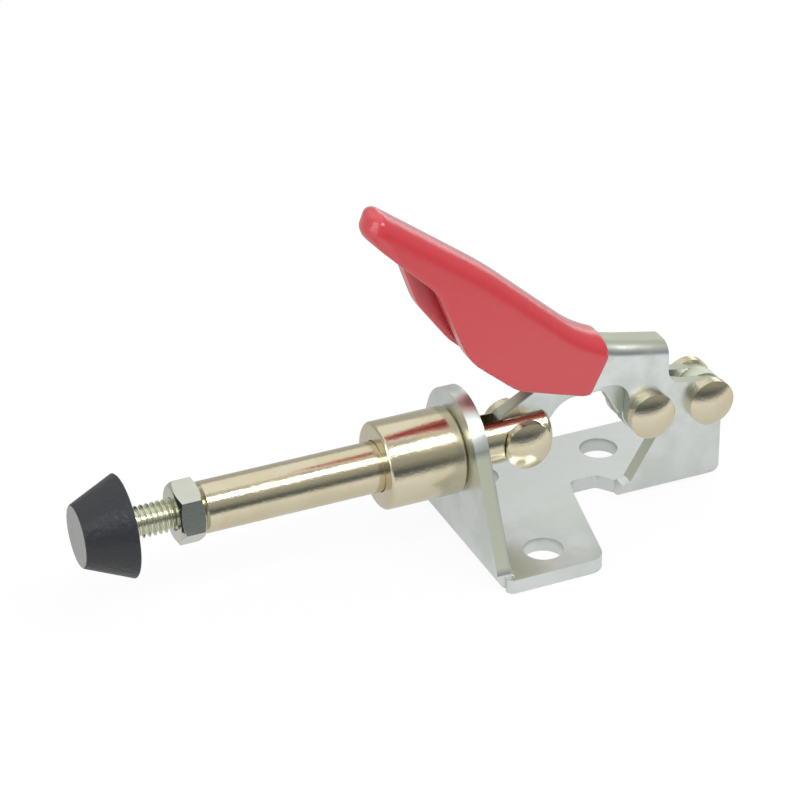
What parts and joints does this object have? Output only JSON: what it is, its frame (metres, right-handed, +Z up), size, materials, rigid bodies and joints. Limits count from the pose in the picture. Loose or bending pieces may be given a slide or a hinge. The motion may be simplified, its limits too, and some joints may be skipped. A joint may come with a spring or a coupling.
{
  "type": "push-pull toggle clamp",
  "caption": "Straight-line toggle clamp: a folding handle pushes a guided plunger with a padded, adjustable spindle over a stamped mounting base.",
  "frame": {"origin": "midway between the two front mounting holes, on the mounting face", "axes": "+X along the plunger from its nose towards the base pivot, +Z up from the mounting face"},
  "size_m": [0.0855, 0.0288, 0.0474],
  "materials": {
    "zinc": "bright zinc plate on stamped steel",
    "nickel": "warm bright plate on turned steel",
    "zinc_bolt": "yellowish zinc plate on a screw and nut",
    "rubber": "matt moulded rubber",
    "vinyl": "dipped vinyl"
  },
  "bodies": {
    "base": {"base": "zinc", "bush": "nickel", "rivet_base": "nickel"},
    "handle": {"handle": "zinc", "grip": "vinyl", "rivet_link": "nickel"},
    "link": {"link": "zinc"},
    "plunger": {"plunger": "nickel", "rivet_plunger": "nickel"},
    "spindle": {"spindle": "zinc_bolt", "pad": "rubber"},
    "nut": {"jam_nut": "zinc_bolt"}
  },
  "joints": [
    {"name": "handle_hinge", "type": "hinge", "parent": "base", "child": "handle", "pos_m": [0.02625, 0, 0.0132], "axis": [0, 1, 0], "range_deg": [0, 150]},
    {"name": "link_hinge", "type": "hinge", "parent": "handle", "child": "link", "pos_m": [0.01795, 0, 0.0132], "axis": [0, -1, 0], "range_deg": [0, 164.1]},
    {"name": "plunger_slide", "type": "slide", "parent": "base", "child": "plunger", "axis": [1, 0, 0], "range_m": [0, 0.016]},
    {"name": "spindle_slide", "type": "slide", "parent": "plunger", "child": "spindle", "axis": [-1, 0, 0], "range_m": [-0.0055, 0.008]},
    {"name": "nut_turn", "type": "hinge", "parent": "plunger", "child": "nut", "pos_m": [-0.0427, 0, 0.0132], "axis": [1, 0, 0], "continuous": true}
  ],
  "couplings": [
    {"joint": "link_hinge", "follows": "handle_hinge", "ratio": 1.0934},
    {"joint": "plunger_slide", "follows": "handle_hinge", "m_per_rad": 0.0061107}
  ]
}
